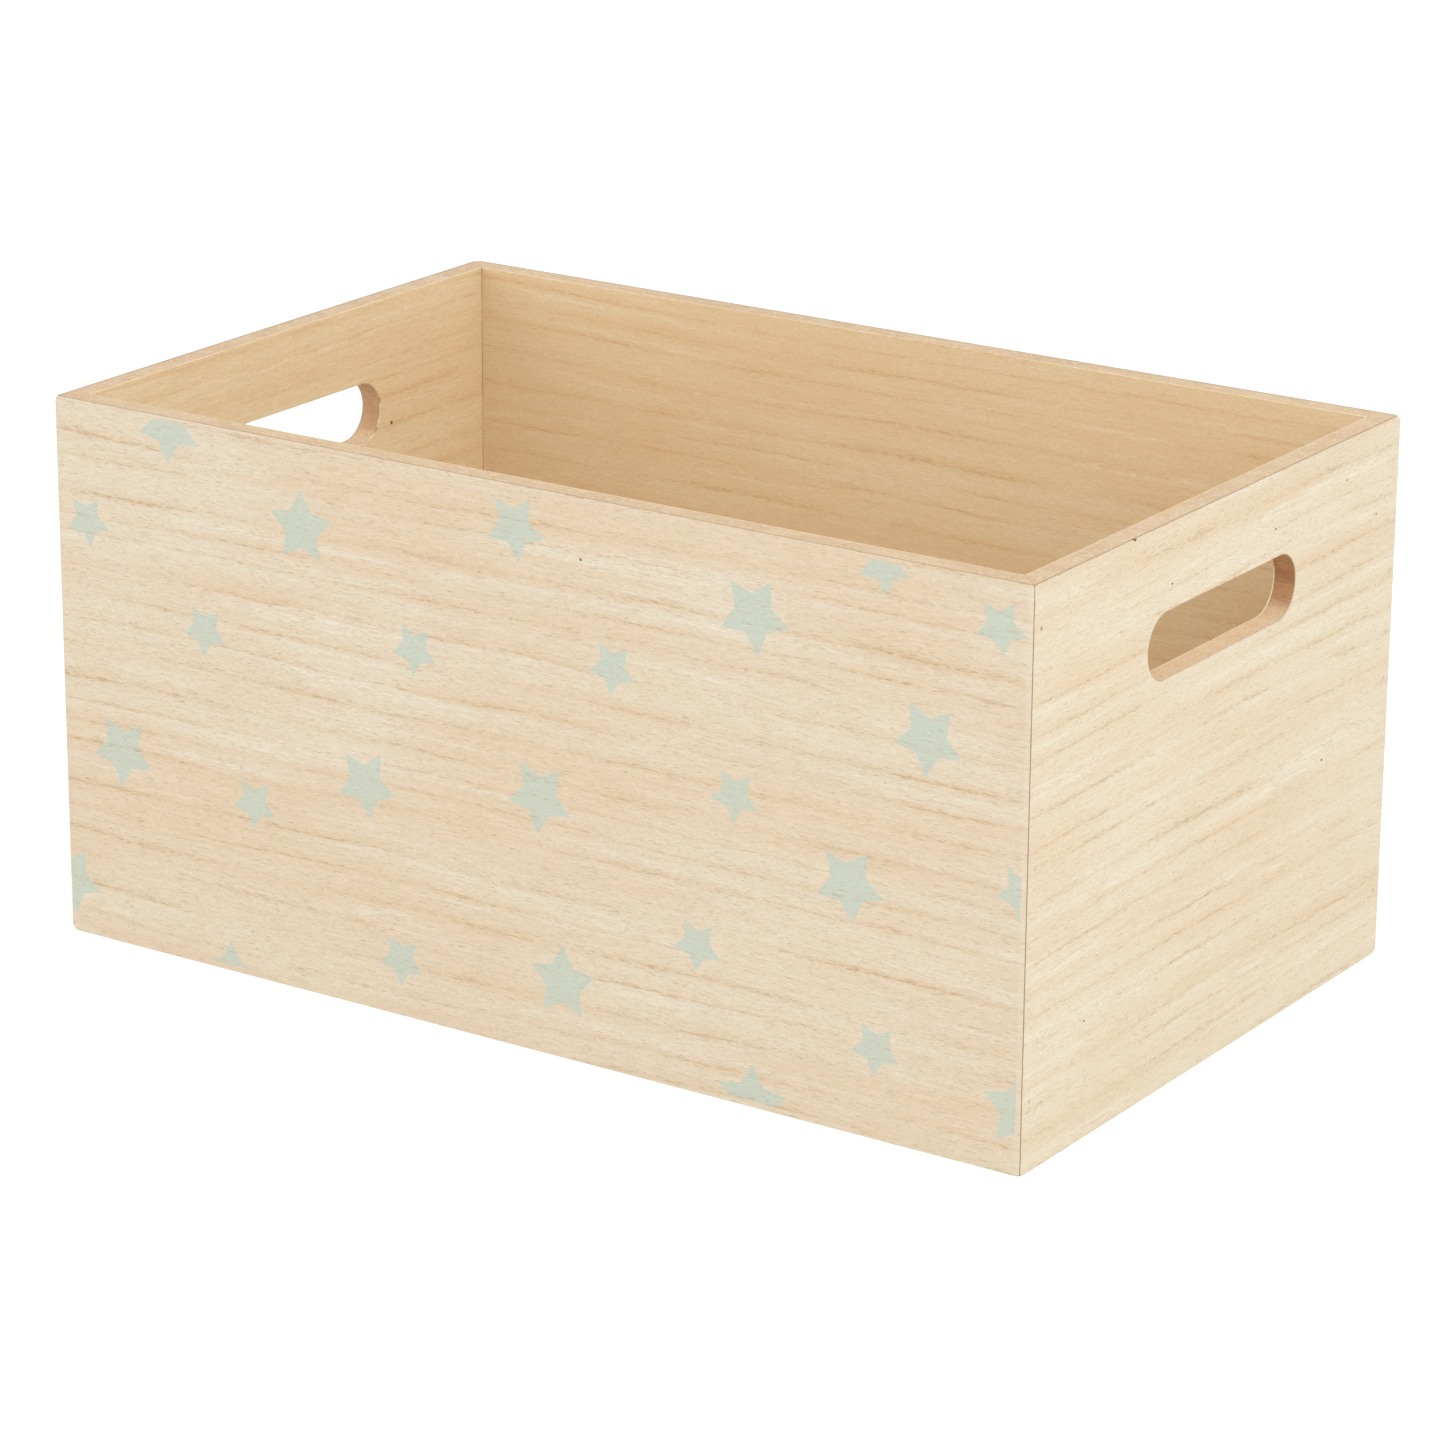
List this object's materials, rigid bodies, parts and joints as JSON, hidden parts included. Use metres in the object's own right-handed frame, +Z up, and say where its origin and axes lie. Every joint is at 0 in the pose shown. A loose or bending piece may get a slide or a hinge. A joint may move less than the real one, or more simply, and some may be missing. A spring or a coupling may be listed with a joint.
{
  "type": "wooden toy box",
  "caption": "Open-topped storage box of veneered board with mitred corners, a grooved-in base panel, a hand slot in each end and a star print on the front.",
  "frame": {"origin": "middle of the underside, on the surface the box stands on", "axes": "+X along the long walls to the right end, +Y from the star-printed front to the back, +Z up"},
  "size_m": [0.4, 0.25, 0.2],
  "materials": {
    "core_board": "raw sanded fibreboard core, matt",
    "face_veneer": "pale paulownia veneer, matt, mint star print on the front",
    "lining_veneer": "pale paulownia veneer, matt",
    "base_board": "pale veneered panel, matt",
    "pin_steel": "bright steel brad"
  },
  "bodies": {
    "root": {"front_core": "core_board", "back_core": "core_board", "left_core": "core_board", "right_core": "core_board", "front_face_veneer": "face_veneer", "back_face_veneer": "face_veneer", "left_face_veneer": "face_veneer", "right_face_veneer": "face_veneer", "front_lining": "lining_veneer", "back_lining": "lining_veneer", "left_lining": "lining_veneer", "right_lining": "lining_veneer", "front_lining_strip": "lining_veneer", "back_lining_strip": "lining_veneer", "left_lining_strip": "lining_veneer", "right_lining_strip": "lining_veneer", "base_panel": "base_board", "pin_right_front_bottom": "pin_steel", "pin_right_front_middle": "pin_steel", "pin_right_front_top": "pin_steel", "pin_right_back_bottom": "pin_steel", "pin_right_back_middle": "pin_steel", "pin_right_back_top": "pin_steel", "pin_left_front_bottom": "pin_steel", "pin_left_front_middle": "pin_steel", "pin_left_front_top": "pin_steel", "pin_left_back_bottom": "pin_steel", "pin_left_back_middle": "pin_steel", "pin_left_back_top": "pin_steel"}
  },
  "joints": []
}
